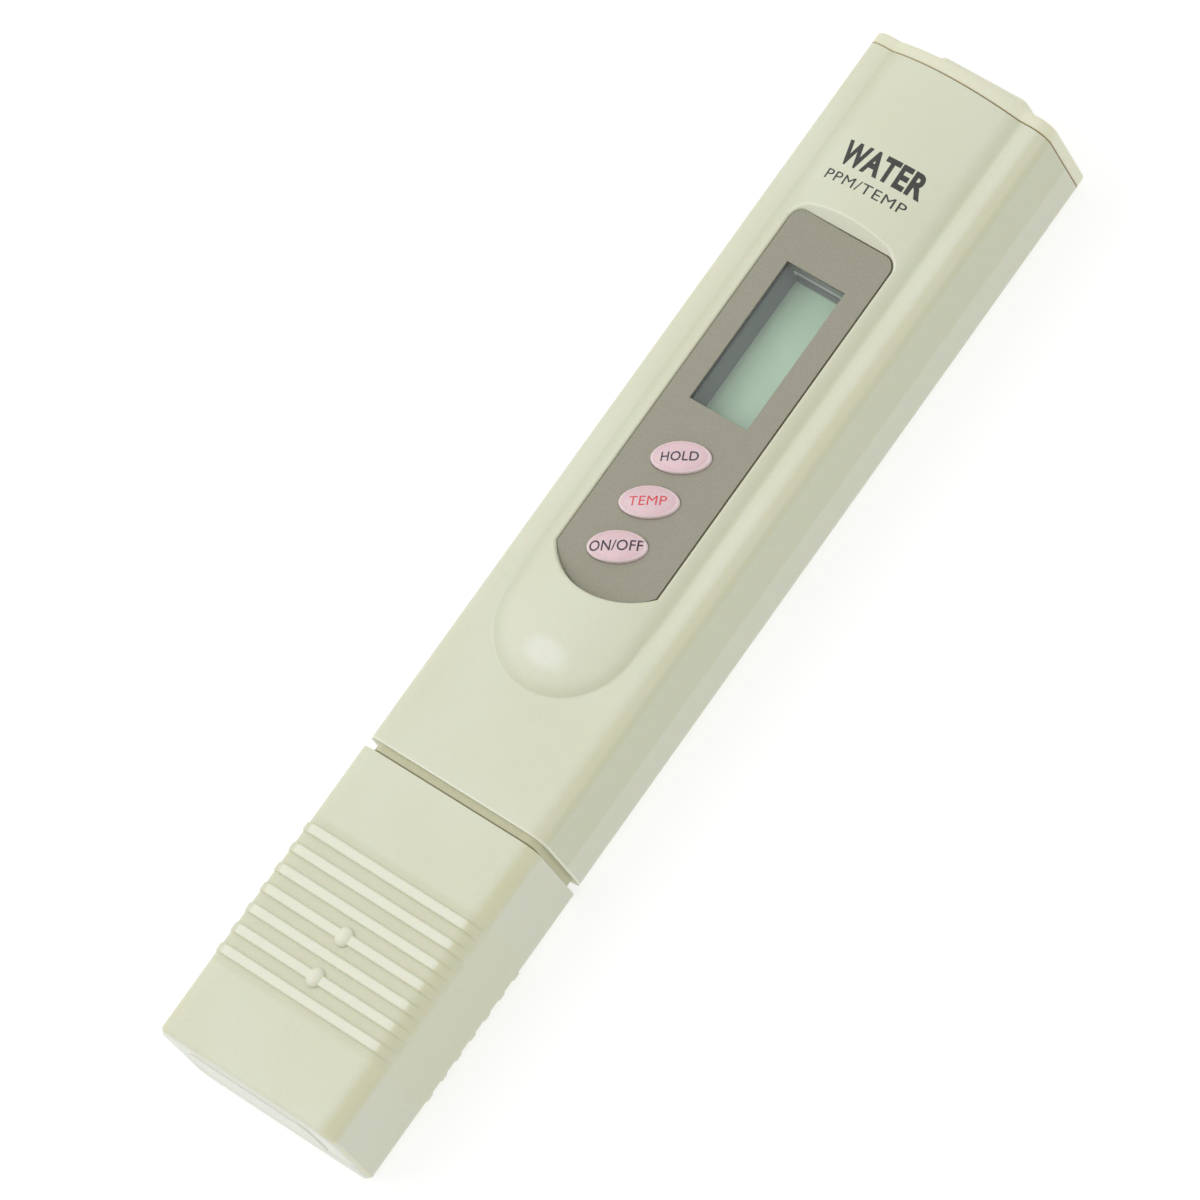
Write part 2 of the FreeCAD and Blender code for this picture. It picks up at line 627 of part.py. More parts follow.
def make_rear_case():
    body = case_shell("parting_z", "front_z + over_cut")
    posts = []
    for x, y in SCREW_PLACES:
        post = cylinder("post_radius", (x, y, "back_z + case_wall - weld_depth"),
                        "board_z - back_z - case_wall + weld_depth")
        pilot = cylinder("pilot_radius", (x, y, "board_z - pilot_depth"), "pilot_depth + over_cut")
        posts.append(cut(post, [pilot]))
    doc.recompute()
    access = cylinder("access_radius", ("trimmer_x", "seam_y + trimmer_at", "-over_cut"),
                      "back_z + case_wall + 2 * over_cut")
    finish_part(cut(fuse([body] + posts), [access]), "rear_case")


# ---------------------------------------------------------------- face
def make_face_overlay():
    body = new_body()
    pad(body, panel_outline(body, "0", recess_z), "overlay_thick")
    window_block("0", f"{recess_z} - over_cut", f"{overlay_z} + over_cut",
                 "PartDesign::SubtractiveBox", body)
    doc.recompute()
    holes = [key_outline("key_gap", key_y(step), f"{recess_z} - over_cut",
                         f"{overlay_z} + over_cut") for _, step in KEYS]
    finish_part(cut(body, holes), "face_overlay")


def make_display():
    lens_low = f"({recess_z} - lens_thick)"
    finish_part(window_block("lens_margin", lens_low, recess_z), "display_lens")
    ledge = f"({display_z} + weld_depth)"
    holder = fuse([glass_block("frame_wall", board_top, ledge),
                   window_block("riser_margin", display_z, f"{lens_low} - fit_gap")])
    hollows = [glass_block("fit_gap", f"{board_top} - over_cut", display_z),
               window_block("fit_gap", f"{display_z} - over_cut", recess_z)]
    finish_part(cut(holder, hollows), "display_frame")

    layers = (("front_polariser", "-0.4", "film_thick"), ("front_glass", "0", "glass_thick"),
              ("rear_glass", "0", "glass_thick"), ("display_reflector", "-1.6", "reflector_thick"))
    top = display_z
    for name, margin, thickness in layers:
        low = f"({top} - {thickness})"
        finish_part(glass_block(margin, low, top), name)
        top = low
    rear_glass_z = f"({display_z} - film_thick - 2 * glass_thick)"
    strips = []
    for side in ("-1", "1"):
        middle = f"{side} * (glass_half - zebra_inset)"
        strips.append(box((f"{middle} - zebra_width / 2", f"{middle} + zebra_width / 2"),
                          (f"{window_y} - glass_length / 2 + over_cut",
                           f"{window_y} + glass_length / 2 - over_cut"),
                          (board_top, rear_glass_z)))
    finish_part(group(strips), "zebra_strips")


def make_key(step):
    """A domed oval with a rounded rim, a flange that keeps it in the case, and a stem."""
    top = f"({overlay_z} + key_rise)"
    flange_z = f"({shell_floor} - flange_drop)"
    blank = key_outline("0", key_y(step), f"{flange_z} - weld_depth", f"{top} + over_cut")
    dome = doc.addObject("Part::Sphere", "Dome")
    bind(dome, "Radius", "key_dome")
    bind(dome, "Placement.Base.x", "key_across")
    bind(dome, "Placement.Base.y", key_y(step))
    bind(dome, "Placement.Base.z", f"{top} - key_dome")
    domed = common([blank, dome])
    doc.recompute()
    rim = doc.addObject("Part::Fillet", "Rim")
    rim.Base = domed
    rounding = size("key_round")
    rim.Edges = [(index, rounding, rounding) for index, edge in enumerate(domed.Shape.Edges, 1)
                 if edge.BoundBox.ZMin > size("front_z") and edge.Length > size("key_minor")]
    flange = key_outline("key_flange", key_y(step), f"{flange_z} - flange_thick", flange_z)
    stem = cylinder("stem_radius", ("0", key_y(step), f"{switch_top} + plunger_half"),
                    f"{flange_z} - {switch_top} - plunger_half - fit_gap")
    return fuse([rim, flange, stem])


def make_keys():
    for name, step in KEYS:
        finish_part(make_key(step), f"{name}_key")
        plunger = cylinder("plunger_radius", ("0", key_y(step), f"{switch_top} - plunger_half"),
                           "2 * plunger_half")
        finish_part(plunger, f"{name}_plunger")
        well_low = f"({switch_top} - well_depth + fit_gap)"
        brim = cylinder("snap_radius", ("0", key_y(step), well_low), "2 * fit_gap")
        hump = cone("0.8 * snap_radius", "0.4 * snap_radius",
                    ("0", key_y(step), f"{well_low} + 2 * fit_gap"), "snap_rise")
        finish_part(fuse([brim, hump]), f"{name}_dome")
    bases = []
    covers = []
    for _, step in KEYS:
        y = key_y(step)
        block = box(("-switch_half", "switch_half"), (f"{y} - switch_half", f"{y} + switch_half"),
                    (board_top, switch_top))
        well = cylinder("well_radius", ("0", y, f"{switch_top} - well_depth"),
                        "well_depth + over_cut")
        bases.append(cut(block, [well]))
        plate = box(("cover_inset - switch_half", "switch_half - cover_inset"),
                    (f"{y} - switch_half + cover_inset", f"{y} + switch_half - cover_inset"),
                    (switch_top, f"{switch_top} + cover_thick"))
        hole = cylinder("plunger_radius + cover_inset", ("0", y, f"{switch_top} - over_cut"),
                        "cover_thick + 2 * over_cut")
        covers.append(cut(plate, [hole]))
    finish_part(group(bases), "switch_bases")
    finish_part(group(covers), "switch_covers")


# ---------------------------------------------------------------- circuit board
def make_screws():
    screws = []
    for x, y in SCREW_PLACES:
        screw = new_body()
        cylinder("screw_shank", (x, y, "board_z - screw_length"),
                 "screw_length + board_thick + fit_gap", "z", "PartDesign::AdditiveCylinder", screw)
        cylinder("screw_head", (x, y, board_top), "screw_rise", "z",
                 "PartDesign::AdditiveCylinder", screw)
        slot_z = (f"{board_top} + screw_rise / 2", f"{board_top} + screw_rise + over_cut")
        for reach, breadth in (("cross_half", "cross_width"), ("cross_width", "cross_half")):
            box((f"{x} - {reach}", f"{x} + {reach}"), (f"{y} - {breadth}", f"{y} + {breadth}"),
                slot_z, "PartDesign::SubtractiveBox", screw)
        screws.append(screw)
    finish_part(group(screws), "board_screws")


def make_trimmer():
    y = "(seam_y + trimmer_at)"
    block = box(("trimmer_x - trimmer_half", "trimmer_x + trimmer_half"),
                (f"{y} - trimmer_half", f"{y} + trimmer_half"), ("board_z - trimmer_drop", "board_z"))
    seat = cylinder("rotor_radius + fit_gap", ("trimmer_x", y, "board_z - rotor_low"),
                    "rotor_height + 2 * fit_gap")
    finish_part(cut(block, [seat]), "trimmer_body")
    rotor = cylinder("rotor_radius", ("trimmer_x", y, "board_z - rotor_low"), "rotor_height")
    slot_z = ("board_z - rotor_low - over_cut", "board_z - rotor_low + slot_depth")
    slots = [box((f"trimmer_x - {reach}", f"trimmer_x + {reach}"),
                 (f"{y} - {breadth}", f"{y} + {breadth}"), slot_z)
             for reach, breadth in (("cross_half", "slot_width"), ("slot_width", "cross_half"))]
    finish_part(cut(rotor, slots), "trimmer_rotor")


def make_chips():
    capacitor_places = (("-10", "66"), ("-10", "68"), ("-6.5", "66"), ("6", "36"))
    capacitors = [box((x, f"{x} + chip_length"), (f"seam_y + {y}", f"seam_y + {y} + chip_height"),
                      ("board_z - chip_height", "board_z")) for x, y in capacitor_places]
    finish_part(group(capacitors), "chip_capacitors")
    resistors = []
    for step in range(8):
        x = f"(resistor_x + {step} * resistor_pitch)"
        resistors.append(box((x, f"{x} + resistor_width"),
                             ("seam_y + resistor_row", "seam_y + resistor_row + resistor_length"),
                             ("board_z - resistor_height", "board_z")))
    finish_part(group(resistors), "chip_resistors")


def make_board():
    board = box(("-board_half", "board_half"), ("seam_y + board_start", "seam_y + board_end"),
                ("board_z", board_top))
    holes = [cylinder("screw_hole", (x, y, "board_z - over_cut"), "board_thick + 2 * over_cut")
             for x, y in SCREW_PLACES]
    finish_part(cut(board, holes), "main_board")
    make_screws()

    blob = doc.addObject("Part::Sphere", "Blob")
    bind(blob, "Radius", "blob_radius")
    bind(blob, "Placement.Base.x", "blob_x")
    bind(blob, "Placement.Base.y", "seam_y + blob_at")
    bind(blob, "Placement.Base.z", "board_z + blob_radius - blob_rise")
    below = box(("blob_x - blob_radius", "blob_x + blob_radius"),
                ("seam_y + blob_at - blob_radius", "seam_y + blob_at + blob_radius"),
                ("board_z - 2 * blob_rise", "board_z"))
    finish_part(common([blob, below]), "controller_blob")
    can = cylinder("can_radius", ("can_x", "seam_y + can_at", "board_z - can_radius"),
                   "can_length", "y")
    finish_part(can, "crystal_can")
    make_trimmer()
    make_chips()


# ---------------------------------------------------------------- battery end
def make_battery_cap():
    body = new_body()
    plate = case_outline(body, f"{body_end} + door_gap", "body_half", "back_z", "front_z",
                         "back_corner", "front_corner")
    pad(body, plate, "door_thick - door_gap")
    crown = crown_segment(body, f"{body_end} + door_gap", "case_wall")
    pad(body, crown, "door_thick - door_gap")
    fillet(body, "crown_foot", at_crown_foot)
    outer = size("seam_y") + size("body_length") + size("door_thick")
    fillet(body, "door_round", lambda edge, middle: abs(middle.y - outer) < 0.01)
    grip = case_outline(body, f"{body_end} + door_thick - weld_depth", "grip_half", "grip_low_z",
                        "grip_high_z", "grip_corner", "grip_corner")
    pad(body, grip, "grip_rise + weld_depth")
    grip_end = outer + size("grip_rise")
    fillet(body, "door_round", lambda edge, middle: abs(middle.y - grip_end) < 0.01)
    box(("-tray_half", "tray_half"),
        (f"{body_end} - tray_length", f"{body_end} + door_gap + weld_depth"),
        ("tray_low_z", "tray_high_z"), "PartDesign::AdditiveBox", body)
    doc.recompute()
    well_z = "(cell_low_z - bridge_thick)"
    wells = [cylinder("cell_radius + 2 * fit_gap", (f"{side} * cell_offset", cell_y, well_z),
                      f"tray_high_z - {well_z} + over_cut") for side in ("-1", "1")]
    slot = box(("-cell_offset", "cell_offset"), (f"{cell_y} - bridge_half", f"{cell_y} + bridge_half"),
               (well_z, "tray_high_z + over_cut"))
    finish_part(cut(body, wells + [slot]), "battery_cap")


def make_cells():
    cans, lids, gaskets = [], [], []
    for side, lid_down in (("-1", True), ("1", False)):
        x = f"{side} * cell_offset"
        can_low = "(cell_low_z + lid_height)" if lid_down else "cell_low_z"
        lid_low = "cell_low_z" if lid_down else "(cell_low_z + cell_height - lid_height)"
        ring_low = f"{can_low} - gasket_thick" if lid_down else lid_low
        cans.append(cylinder("cell_radius", (x, cell_y, can_low), "cell_height - lid_height"))
        lids.append(cylinder("cell_radius - lid_inset", (x, cell_y, lid_low), "lid_height"))
        ring = cylinder("cell_radius - gasket_inset", (x, cell_y, ring_low), "gasket_thick")
        hole = cylinder("cell_radius - lid_inset", (x, cell_y, f"{ring_low} - over_cut"),
                        "gasket_thick + 2 * over_cut")
        gaskets.append(cut(ring, [hole]))
    finish_part(group(cans), "cell_cans")
    finish_part(group(lids), "cell_lids")
    finish_part(group(gaskets), "cell_gaskets")
    bridge = box(("-cell_offset - leaf_half", "cell_offset + leaf_half"),
                 (f"{cell_y} - bridge_half", f"{cell_y} + bridge_half"),
                 ("cell_low_z - bridge_thick", "cell_low_z"))
    finish_part(bridge, "cell_bridge")


def make_contacts():
    """Springs that rise from the board and reach over the cells."""
    leaf_z = "(cell_low_z + cell_height + leaf_thick)"
    foot_end = "(seam_y + board_end - leaf_inset)"
    for name, x in (("positive_contact", "-cell_offset"), ("negative_contact", "cell_offset")):
        width = (f"{x} - leaf_half", f"{x} + leaf_half")
        foot = box(width, (f"{foot_end} - leaf_half", foot_end),
                   (board_top, f"{board_top} + leaf_thick"))
        riser = box(width, (f"{foot_end} - leaf_thick", foot_end),
                    (board_top, f"{leaf_z} + leaf_thick"))
        leaf = box(width, (f"{foot_end} - leaf_thick", f"{cell_y} + cell_radius / 2"),
                   (leaf_z, f"{leaf_z} + leaf_thick"))
        finish_part(fuse([foot, riser, leaf]), name)


# ---------------------------------------------------------------- probe cap
def cap_shell():
    body = new_body()
    outer = case_outline(body, cap_end, cap_half, cap_low_z, cap_high_z,
                         "back_corner + cap_proud", "front_corner + cap_proud")
    pad(body, outer, "cap_length")
    closed = size("seam_y") - size("cap_gap") - size("cap_length")
    fillet(body, "cap_edge", lambda edge, middle: abs(middle.y - closed) < 0.01,
           "PartDesign::Chamfer", "Size")
    inner = case_outline(body, f"{cap_end} + cap_floor", f"{cap_half} - cap_wall",
                         f"{cap_low_z} + cap_wall", f"{cap_high_z} - cap_wall",
                         neck_back_corner, neck_front_corner)
    pocket(body, inner, "cap_length")
    end_pad = case_outline(body, f"{cap_end} + weld_depth", "cap_pad_half", "cap_pad_low_z",
                           "cap_pad_high_z", "cap_pad_corner", "cap_pad_corner")
    pad(body, end_pad, "cap_pad_rise + weld_depth", False)
    pad_end = closed - size("cap_pad_rise")
    fillet(body, "cap_pad_round", lambda edge, middle: abs(middle.y - pad_end) < 0.01)
    return body


def rib_ring(step):
    """A rib that stands out of the cap's front and back and dies into its sides."""
    body = new_body()
    start = f"(seam_y - rib_first - {step} * rib_pitch - rib_width / 2)"
    outer = case_outline(body, start, f"{cap_half} - fit_gap", f"{cap_low_z} - rib_rise",
                         f"{cap_high_z} + rib_rise", "back_corner + cap_proud",
                         "front_corner + cap_proud")
    pad(body, outer, "rib_width")
    fillet(body, "rib_round", lambda edge, middle: True)
    root = case_outline(body, f"{start} - over_cut", f"{cap_half} - rib_root",
                        f"{cap_low_z} + rib_root", f"{cap_high_z} - rib_root",
                        "back_corner + cap_proud - rib_root", "front_corner + cap_proud - rib_root")
    pocket(body, root, "rib_width + 2 * over_cut")
    return body


def rib_nub(step):
    """A raised dot on the front of a rib."""
    y = f"(seam_y - rib_first - {step} * rib_pitch)"
    nub = doc.addObject("Part::Ellipsoid", "Nub")
    bind(nub, "Radius1", "nub_rise")
    bind(nub, "Radius2", "nub_half")
    bind(nub, "Radius3", "nub_reach")
    bind(nub, "Placement.Base.y", y)
    bind(nub, "Placement.Base.z", cap_high_z)
    upper = box(("-2 * nub_half", "2 * nub_half"), (f"{y} - 2 * nub_reach", f"{y} + 2 * nub_reach"),
                (f"{cap_high_z} - weld_depth", f"{cap_high_z} + 2 * nub_rise"))
    return common([nub, upper])


def make_probe_cap():
    ribs = [rib_ring(step) for step in range(int(size("rib_count")))]
    nubs = [rib_nub(step) for step in (3, 5)]
    finish_part(fuse([cap_shell()] + ribs + nubs), "probe_cap")


# ---------------------------------------------------------------- probe
def make_probe():
    body = new_body()
    flange_start = "(seam_y - neck_length)"
    collar_end = f"({flange_start} - collar_length)"
    collar = case_outline(body, flange_start, neck_half, neck_low_z, neck_high_z,
                          neck_back_corner, neck_front_corner)
    pad(body, collar, "collar_length", False)
    plug = case_outline(body, flange_start, f"{neck_half} - neck_wall - plug_gap",
                        f"{neck_low_z} + neck_wall + plug_gap",
                        f"{neck_high_z} - neck_wall - plug_gap", "throat_corner", "throat_corner")
    pad(body, plug, "plug_length")
    well = case_outline(body, f"{flange_start} + plug_floor", f"{neck_half} - neck_wall - plug_wall",
                        f"{neck_low_z} + neck_wall + plug_wall",
                        f"{neck_high_z} - neck_wall - plug_wall", "well_corner", "well_corner")
    pocket(body, well, "plug_length")
    for side in ("-1", "1"):
        middle = f"{side} * ({neck_half} - guard_inset)"
        box((f"{middle} - guard_half", f"{middle} + guard_half"),
            ("seam_y - guard_tip", f"{collar_end} + weld_depth"),
            (f"{neck_low_z} + guard_inset", f"{neck_high_z} - guard_inset"),
            "PartDesign::AdditiveBox", body)
    box(("-pin_offset - boss_margin", "pin_offset + boss_margin"),
        (f"{collar_end} - boss_length", f"{collar_end} + weld_depth"),
        ("probe_z - boss_half", "probe_z + boss_half"), "PartDesign::AdditiveBox", body)
    tip = size("seam_y") - size("guard_tip")
    fillet(body, "guard_round", lambda edge, middle: abs(middle.y - tip) < 0.01)

    def bores():
        places = (("-pin_offset", "pin_radius"), ("pin_offset", "pin_radius"), ("0", "tube_radius"))
        return [cylinder(radius, (x, "seam_y - pin_tip", "probe_z"), "pin_tip", "y")
                for x, radius in places]

    finish_part(cut(body, bores()), "probe_holder")

    potting = new_body()
    fill = case_outline(potting, f"{flange_start} + plug_floor",
                        f"{neck_half} - neck_wall - plug_wall - fit_gap",
                        f"{neck_low_z} + neck_wall + plug_wall + fit_gap",
                        f"{neck_high_z} - neck_wall - plug_wall - fit_gap",
                        "well_corner", "well_corner")
    pad(potting, fill, "potting_length")
    finish_part(cut(potting, bores()), "probe_potting")

    pins = []
    for side in ("-1", "1"):
        start = (f"{side} * pin_offset", "seam_y - pin_tip + point_length", "probe_z")
        shank = cylinder("pin_radius", start, "pin_tip - point_length - pin_heel", "y")
        point = cone("pin_radius", "0.45 * pin_radius", start, "point_length", "-y")
        pins.append(fuse([shank, point]))
    finish_part(group(pins), "electrode_pins")

    tube = cylinder("tube_radius", ("0", "seam_y - tube_tip", "probe_z"), "tube_tip - pin_heel", "y")
    bead = doc.addObject("Part::Sphere", "Bead")
    bind(bead, "Radius", "tube_radius")
    bind(bead, "Placement.Base.y", "seam_y - tube_tip")
    bind(bead, "Placement.Base.z", "probe_z")
    finish_part(fuse([tube, bead]), "thermistor_tube")

    leads = [cylinder("lead_radius", (x, "seam_y - pin_heel + fit_gap", "probe_z"),
                      "pin_heel + board_start - 2 * fit_gap", "y")
             for x in ("-pin_offset", "-lead_offset", "lead_offset", "pin_offset")]
    finish_part(group(leads), "probe_leads")


make_front_case()
make_rear_case()
make_face_overlay()
make_display()
make_keys()
make_board()
make_battery_cap()
make_cells()
make_contacts()
make_probe_cap()
make_probe()
doc.recompute()

# ---------------------------------------------------------------- check and write
for item in doc.Objects:
    if "Invalid" in item.State or "Error" in item.State:
        raise RuntimeError(f"{item.Name} ({item.Label}) failed: {item.State}")
for name, item in parts.items():
    if item.Shape.isNull() or not item.Shape.isValid() or not item.Shape.Solids:
        raise RuntimeError(f"{name} has no valid shape")

os.makedirs("parts", exist_ok=True)
for name, item in parts.items():
    item.Shape.exportStep(f"parts/{name}.step")
    bounds = item.Shape.BoundBox
    print(f"{name:20s} solids {len(item.Shape.Solids)}  x {bounds.XMin:.2f} {bounds.XMax:.2f}"
          f"  y {bounds.YMin:.2f} {bounds.YMax:.2f}  z {bounds.ZMin:.2f} {bounds.ZMax:.2f}")
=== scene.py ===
import math

import bmesh
import bpy
from mathutils import Matrix, Vector
from mathutils.bvhtree import BVHTree


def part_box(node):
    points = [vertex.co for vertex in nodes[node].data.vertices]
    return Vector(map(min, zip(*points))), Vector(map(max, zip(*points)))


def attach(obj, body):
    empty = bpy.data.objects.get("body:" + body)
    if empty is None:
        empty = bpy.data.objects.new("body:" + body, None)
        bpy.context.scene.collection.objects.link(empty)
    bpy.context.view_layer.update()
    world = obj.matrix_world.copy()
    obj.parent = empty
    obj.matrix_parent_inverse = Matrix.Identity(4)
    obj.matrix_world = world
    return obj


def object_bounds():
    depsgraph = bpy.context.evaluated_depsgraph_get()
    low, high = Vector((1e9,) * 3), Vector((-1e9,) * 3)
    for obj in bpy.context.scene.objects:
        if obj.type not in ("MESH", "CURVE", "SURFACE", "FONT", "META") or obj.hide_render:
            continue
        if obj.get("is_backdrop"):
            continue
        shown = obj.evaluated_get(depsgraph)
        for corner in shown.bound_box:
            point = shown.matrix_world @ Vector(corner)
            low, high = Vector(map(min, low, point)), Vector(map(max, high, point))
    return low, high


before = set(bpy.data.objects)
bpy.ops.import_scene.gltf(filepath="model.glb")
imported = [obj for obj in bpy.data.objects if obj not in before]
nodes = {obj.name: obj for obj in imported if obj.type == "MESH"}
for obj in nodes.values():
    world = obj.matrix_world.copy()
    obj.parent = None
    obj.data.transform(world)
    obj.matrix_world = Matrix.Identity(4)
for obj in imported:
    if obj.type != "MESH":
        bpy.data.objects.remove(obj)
cad_low, cad_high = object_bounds()
MM = 0.001


# ---------------------------------------------------------------- helpers
def linear(red, green, blue):
    """An 8-bit display colour as the linear colour that shaders use."""
    def one(value):
        share = value / 255
        return share / 12.92 if share <= 0.04045 else ((share + 0.055) / 1.055) ** 2.4
    return one(red), one(green), one(blue), 1.0


class Surface:
    """A material built from nodes in the space of the object, in metres."""

    def __init__(self, name, **settings):
        self.material = bpy.data.materials.new(name)
        self.material.use_nodes = True
        self.tree = self.material.node_tree
        self.shader = self.tree.nodes["Principled BSDF"]
        coordinates = self.tree.nodes.new("ShaderNodeTexCoord")
        self.place = coordinates.outputs["Object"]
        self.facing = coordinates.outputs["Normal"]
        for socket, value in settings.items():
            self.shader.inputs[socket.replace("_", " ")].default_value = value

    def node(self, kind, *inputs, **settings):
        """Add a node and give its first inputs values or links. None leaves one alone."""
        made = self.tree.nodes.new(kind)
        for key, value in settings.items():
            setattr(made, key, value)
        for socket, value in zip(made.inputs, inputs):
            self.feed(socket, value)
        return made

    def feed(self, socket, value):
        if isinstance(value, bpy.types.NodeSocket):
            self.tree.links.new(value, socket)
        elif value is not None:
            socket.default_value = value

    def noise(self, size, detail=2.0, roughness=0.5, stretch=None):
        """Soft noise from 0 to 1 whose patches are about size millimetres wide."""
        place = self.place
        if stretch:
            place = self.node("ShaderNodeVectorMath", place, stretch,
                              operation="MULTIPLY").outputs[0]
        made = self.node("ShaderNodeTexNoise")
        self.feed(made.inputs["Vector"], place)
        made.inputs["Scale"].default_value = 1 / (size * MM)
        made.inputs["Detail"].default_value = detail
        made.inputs["Roughness"].default_value = roughness
        return made.outputs["Fac"]

    def math(self, operation, one, two=0.0, three=0.0):
        return self.node("ShaderNodeMath", one, two, three, operation=operation).outputs[0]

    def span(self, value, low, high, start=0.0, end=1.0):
        """Value moved smoothly from start to end between low and high."""
        made = self.node("ShaderNodeMapRange", value, low, high, start, end,
                         interpolation_type="SMOOTHSTEP")
        return made.outputs[0]

    def split(self, vector):
        return self.node("ShaderNodeSeparateXYZ", vector).outputs

    def mix(self, factor, one, two):
        """Colour one where factor is 0 and colour two where it is 1."""
        made = self.node("ShaderNodeMix", data_type="RGBA")
        for index, value in ((0, factor), (6, one), (7, two)):
            self.feed(made.inputs[index], value)
        return made.outputs[2]

    def colour(self, value):
        self.feed(self.shader.inputs["Base Color"], value)

    def rough(self, value):
        self.feed(self.shader.inputs["Roughness"], value)

    def bump(self, height, depth):
        """Relief of depth millimetres where height goes from 0 to 1."""
        made = self.node("ShaderNodeBump")
        made.inputs["Strength"].default_value = 1.0
        made.inputs["Distance"].default_value = depth * MM
        self.feed(made.inputs["Height"], height)
        self.feed(self.shader.inputs["Normal"], made.outputs["Normal"])


def dress(surface, *names):
    """Give CAD nodes a material."""
    for name in names:
        slots = nodes[name].data.materials
        slots.clear()
        slots.append(surface.material)


# ---------------------------------------------------------------- places, in millimetres
SEAM = -33.1                        # case's edge at the probe cap; places along the case start here
NECK_FOOT = SEAM - 1.6              # where the neck's bands of painted shade start, under the cap
CAP_RIM = SEAM - 1.29
CAP_END = CAP_RIM - 42.66           # closed end of the probe cap
CAP_END_SHADE_BAND = (3.2, 7.4)           # heights of the band of painted shade on that end
RIBS = (SEAM - 33.4, SEAM - 11.7)
PANEL = (SEAM + 28.2, SEAM + 85.5)
PANEL_HALF = 8.4                    # across
CASE_END = SEAM + 106.65
WINDOW_END = SEAM + 76.955
FRAME_GLINT = ((13.6, 13.8), (14.7, 14.9))   # heights where the painted glint on the far wall fades in and out
DOOR_FACE = SEAM + 108.4
FACE_Z = 17.2
CAP_Z = 17.325
PARTING_Z = 7.7
CROWN_FOOT = 10.2                   # from the middle, across
CORNER = 12.2                       # where the front corners' warmer tint starts, across
CROWN_START = SEAM + 27             # where the crown's painted shade in the valleys and painted light on the shoulders start
CROWN_FADE = 8
SHINE = (0.5, SEAM + 19.6)          # middle of the soft highlight on the nose, across and along
SHINE_HALF = (4.2, 2.4)
KEY_FIRST = SEAM + 35.475
KEY_PITCH = 6.754
KEY_ACROSS = -0.5
KEY_HALF = (4.0, 2.12)
KEY_TURN = 26.5                     # degrees from +X, like the next two
LABEL_TURN = 29.5
WORDS_TURN = 2.0

# ---------------------------------------------------------------- materials
CREAM = (219, 221, 199)             # colours are 8-bit display values
CREAM_DEEP = (217, 218, 193)
CORNER_SHADE_YELLOW = (211, 208, 163)
CREAM_PAINTED_LIGHT = (234, 235, 217)
PARTING_AND_GROOVE_SHADE_GREEN = (208, 209, 181)
CREAM_SIDE_SHADE = (208, 210, 190)
CREAM_SHADE = (200, 203, 177)
CREAM_VALLEY_SHADE = (190, 192, 160)
SHINE_WHITE = (238, 239, 230)
PANEL_GAP_SHADOW_OLIVE = (112, 104, 74)
NECK_SHADE_TAN = (218, 216, 186)
NECK_SHADOW_OLIVE = (116, 109, 70)
CAP_END_PAINTED_LIGHT = (228, 230, 220)
CAP_END_SHADE_GREY = (200, 203, 190)
DRAWER_ORANGE = (206, 176, 112)
DRAWER_PALE = (234, 233, 205)
SEAM_BROWN = (120, 104, 66)
KEY_DARK = (222, 192, 197)
KEY_LIGHT = (226, 197, 202)
KEY_SHADE_RING = (206, 170, 177)
KEY_HIGHLIGHT_RING = (240, 222, 223)


class Cream(Surface):
    """Satin moulded plastic: faint clouds, fine grain, and sides painted a darker, cooler shade."""

    def __init__(self, name, side):
        super().__init__(name, IOR=1.5, Subsurface_Weight=0.1, Subsurface_Scale=0.0008)
        cloud = self.span(self.noise(18), 0.35, 0.65)
        self.body = self.mix(cloud, linear(*CREAM), linear(*CREAM_DEEP))
        self.across, self.along, self.height = self.split(self.place)
        self.grain = self.noise(0.35, 3.0)
        across, _, _ = self.split(self.facing)
        # painted shade on faces that turn to the sides
        self.tint(self.span(self.math("ABSOLUTE", across), 0.75, 0.98), side)
        self.rough(self.span(self.noise(1.6), 0.3, 0.7, 0.40, 0.50))
        self.bump(self.grain, 0.006)

    def tint(self, factor, colour, strength=1.0):
        """Turn the plastic towards a colour where factor is 1."""
        self.body = self.mix(self.math("MULTIPLY", factor, strength), self.body, linear(*colour))

    def beyond(self, value, place, fade, below=False):
        """1 past a place in millimetres, or before it, with a soft edge."""
        low, high = (place - fade / 2) * MM, (place + fade / 2) * MM
        return self.span(value, low, high, 1.0, 0.0) if below else self.span(value, low, high)

    def within(self, value, low, high, fade):
        """1 between two places in millimetres."""
        return self.math("MULTIPLY", self.beyond(value, low, fade),
                         self.beyond(value, high, fade, True))

    def corners(self, left, right):
        """Painted warm shade where the front corners turn down."""
        _, _, up = self.split(self.facing)
        turn = self.math("MULTIPLY", self.span(up, 0.1, 0.25), self.span(up, 0.85, 0.99, 1.0, 0.0))
        patches = self.span(self.noise(7), 0.3, 0.7, 0.75, 1.0)
        turn = self.math("MULTIPLY", turn, patches)
        for value, strength in ((self.beyond(self.across, CORNER, 1.0), right),
                                (self.beyond(self.across, -CORNER, 1.0, True), left)):
            self.tint(self.math("MULTIPLY", turn, value), CORNER_SHADE_YELLOW, strength)

    def finish(self, *names):
        """Darken the grain's pits a little and dress the nodes."""
        self.tint(self.span(self.grain, 0.3, 0.7), (0, 0, 0), 0.02)
        self.colour(self.body)
        dress(self, *names)


